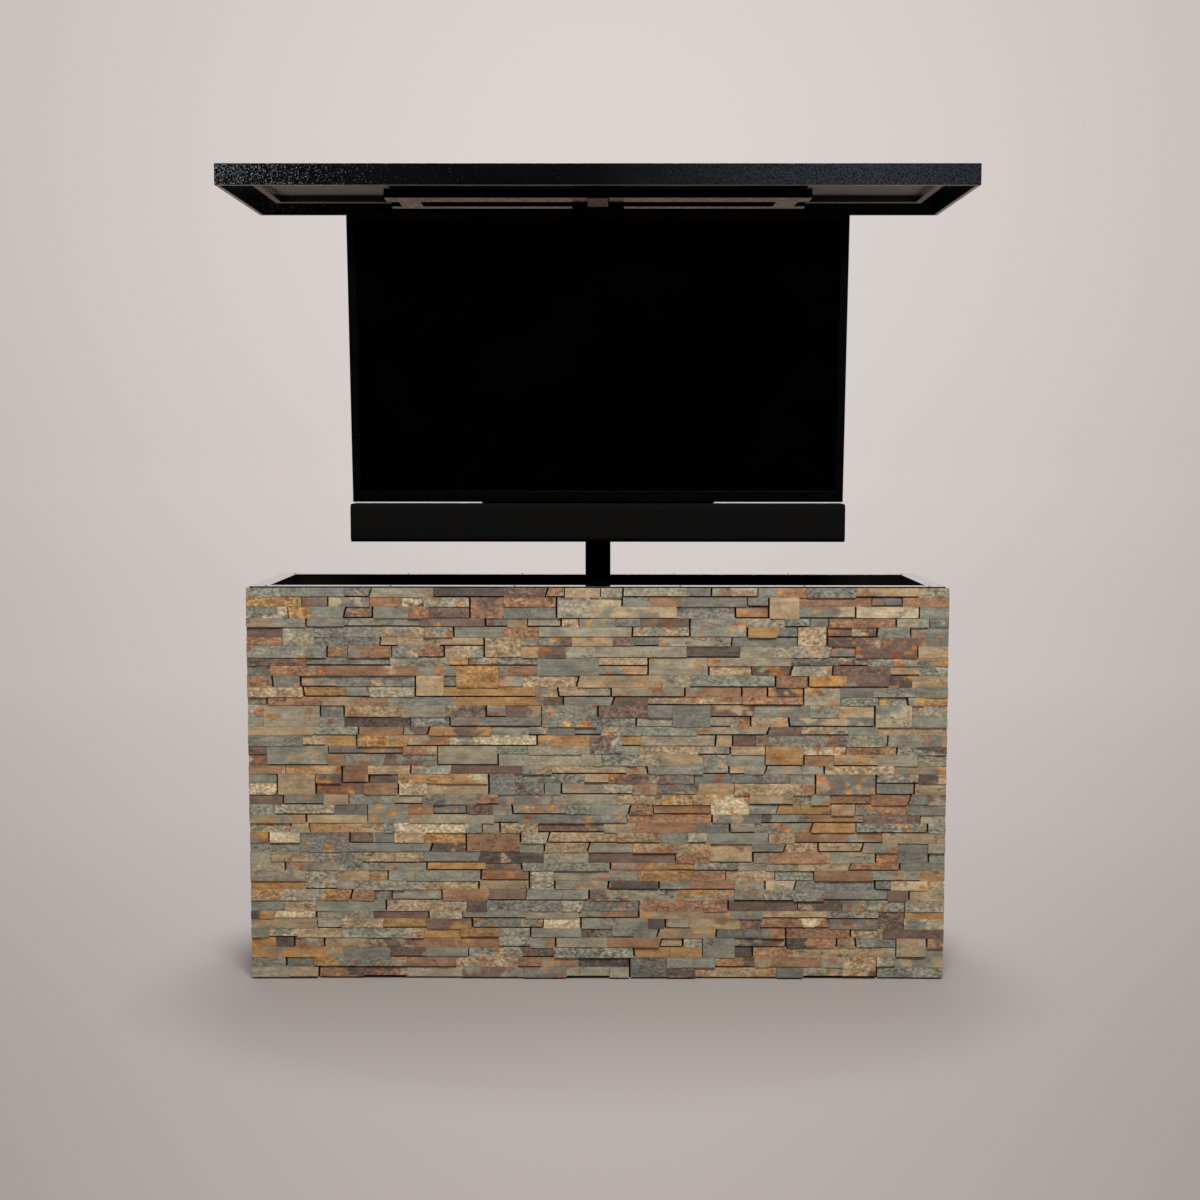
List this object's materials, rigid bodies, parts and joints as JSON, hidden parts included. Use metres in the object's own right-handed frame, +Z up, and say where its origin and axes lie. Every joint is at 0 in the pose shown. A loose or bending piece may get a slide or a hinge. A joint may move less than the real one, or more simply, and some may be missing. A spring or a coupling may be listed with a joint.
{
  "type": "tv lift cabinet",
  "caption": "Stone-clad low cabinet with a telescopic column lift that raises a lid, a tilting flat television and a soundbar.",
  "frame": {"origin": "middle of the footprint, on the ground under the levelling feet", "axes": "+Z up, +X to the right seen from the front, the front faces -Y; the lift stands raised"},
  "size_m": [1.782, 0.542, 1.954],
  "materials": {
    "ledger_stone": "split-face ledger stone in mixed slate colours",
    "black_powder_coat": "fine textured black powder coat",
    "black_board": "board with a black coating",
    "dark_steel": "dark painted steel",
    "ground_steel": "ground steel",
    "bronze": "cast bronze",
    "moulded_black": "fine-grained black moulding",
    "screen_gloss": "glossy switched-off screen",
    "seal_rubber": "matt black rubber",
    "liner_board": "pale composite board",
    "grille_cloth": "black cloth over a moulded grille"
  },
  "bodies": {
    "cabinet": {"floor_panel": "black_board", "carcass_front": "black_board", "carcass_rear": "black_board", "carcass_left": "black_board", "carcass_right": "black_board", "corner_post_front_left": "dark_steel", "corner_post_front_right": "dark_steel", "corner_post_rear_left": "dark_steel", "corner_post_rear_right": "dark_steel", "rim_front": "black_powder_coat", "rim_rear": "black_powder_coat", "rim_left": "black_powder_coat", "rim_right": "black_powder_coat", "cladding_front": "ledger_stone", "cladding_rear": "ledger_stone", "cladding_left": "ledger_stone", "cladding_right": "ledger_stone", "door_frame": "black_powder_coat", "cable_gland": "moulded_black", "lift_base_plate": "dark_steel", "gearbox": "dark_steel", "gear_motor": "dark_steel", "control_box": "moulded_black", "column_outer": "black_powder_coat", "column_outer_collar": "moulded_black"},
    "foot_front_left": {"foot_front_left": "dark_steel"},
    "foot_front_right": {"foot_front_right": "dark_steel"},
    "foot_rear_left": {"foot_rear_left": "dark_steel"},
    "foot_rear_right": {"foot_rear_right": "dark_steel"},
    "door": {"service_door": "black_powder_coat"},
    "latch": {"door_latch": "dark_steel"},
    "lower_spindle": {"spindle_lower": "ground_steel"},
    "middle_stage": {"column_middle": "black_powder_coat", "column_middle_collar": "moulded_black", "lower_nut_block": "bronze"},
    "upper_spindle": {"spindle_upper": "ground_steel"},
    "carriage": {"column_inner": "black_powder_coat", "upper_nut": "bronze", "head_plate": "dark_steel", "hanger_plate": "dark_steel", "lid_frame": "black_powder_coat", "lid_angle_front_left": "dark_steel", "lid_angle_front_right": "dark_steel", "lid_angle_rear_left": "dark_steel", "lid_angle_rear_right": "dark_steel", "lid_shell": "black_powder_coat", "lid_liner": "liner_board", "lid_ring": "black_powder_coat", "lid_seal": "seal_rubber", "tilt_bracket": "dark_steel", "tilt_shaft": "ground_steel", "soundbar_body": "moulded_black", "soundbar_grille": "grille_cloth", "soundbar_plate": "dark_steel"},
    "television": {"tv_bezel": "moulded_black", "tv_screen": "screen_gloss", "tv_rear_cover": "moulded_black", "vesa_rail_left": "dark_steel", "vesa_rail_right": "dark_steel"}
  },
  "joints": [
    {"name": "lift", "type": "slide", "parent": "cabinet", "child": "carriage", "axis": [0, 0, 1], "range_m": [-0.964, 0]},
    {"name": "middle_stage_slide", "type": "slide", "parent": "cabinet", "child": "middle_stage", "axis": [0, 0, 1], "range_m": [-0.482, 0]},
    {"name": "lower_spindle_turn", "type": "hinge", "parent": "cabinet", "child": "lower_spindle", "pos_m": [0, 0.095, 0.5], "axis": [0, 0, 1], "range_deg": [-17353, 0]},
    {"name": "upper_spindle_turn", "type": "hinge", "parent": "middle_stage", "child": "upper_spindle", "pos_m": [0, 0.095, 1], "axis": [0, 0, 1], "range_deg": [-17353, 0]},
    {"name": "television_tilt", "type": "hinge", "parent": "carriage", "child": "television", "pos_m": [0, 0.02, 1.5197], "axis": [1, 0, 0], "range_deg": [-5, 3]},
    {"name": "service_door_hinge", "type": "hinge", "parent": "cabinet", "child": "door", "pos_m": [-0.318, 0.2353, 0.47], "axis": [0, 0, 1], "range_deg": [0, 110]},
    {"name": "door_latch_turn", "type": "hinge", "parent": "door", "child": "latch", "pos_m": [0.269, 0.24, 0.47], "axis": [0, 1, 0], "range_deg": [0, 90]},
    {"name": "foot_front_left_screw", "type": "slide", "parent": "cabinet", "child": "foot_front_left", "axis": [0, 0, -1], "range_m": [0, 0.012]},
    {"name": "foot_front_right_screw", "type": "slide", "parent": "cabinet", "child": "foot_front_right", "axis": [0, 0, -1], "range_m": [0, 0.012]},
    {"name": "foot_rear_left_screw", "type": "slide", "parent": "cabinet", "child": "foot_rear_left", "axis": [0, 0, -1], "range_m": [0, 0.012]},
    {"name": "foot_rear_right_screw", "type": "slide", "parent": "cabinet", "child": "foot_rear_right", "axis": [0, 0, -1], "range_m": [0, 0.012]}
  ],
  "couplings": [
    {"joint": "middle_stage_slide", "follows": "lift", "ratio": 0.5},
    {"joint": "lower_spindle_turn", "follows": "lift", "rad_per_m": 314.16},
    {"joint": "upper_spindle_turn", "follows": "lift", "rad_per_m": 314.16}
  ]
}
